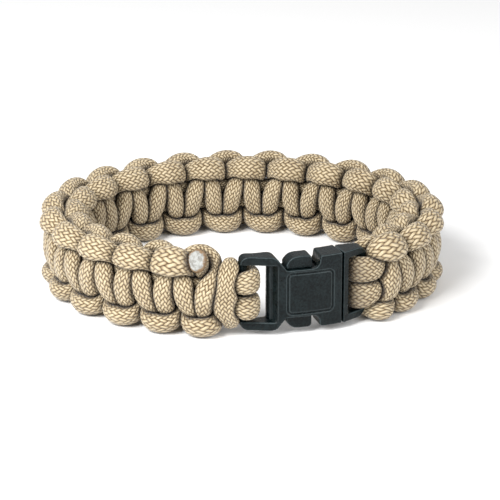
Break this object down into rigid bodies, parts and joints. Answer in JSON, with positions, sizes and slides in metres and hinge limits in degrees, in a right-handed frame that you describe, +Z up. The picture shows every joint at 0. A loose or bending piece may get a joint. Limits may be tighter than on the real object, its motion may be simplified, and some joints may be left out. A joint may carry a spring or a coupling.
{
  "type": "paracord bracelet",
  "caption": "flat-woven paracord bracelet closed with a curved side-release buckle, standing on its edge",
  "frame": {"origin": "centre of the bracelet on the surface that it stands on", "axes": "+Z up, along the axis of the wrist opening; +X along the longer side, to the right seen from the buckle; the buckle faces -Y, right of the middle"},
  "size_m": [0.0931, 0.0792, 0.0196],
  "materials": {
    "cord": "tan braided nylon sheath, with cream highlights on its strands",
    "buckle_plastic": "slate-black moulded plastic with a fine matt grain"
  },
  "bodies": {
    "root": {"front_cord": "cord", "back_cord": "cord", "core_cord": "cord", "buckle_socket": "buckle_plastic", "buckle_plug": "buckle_plastic"}
  },
  "joints": []
}
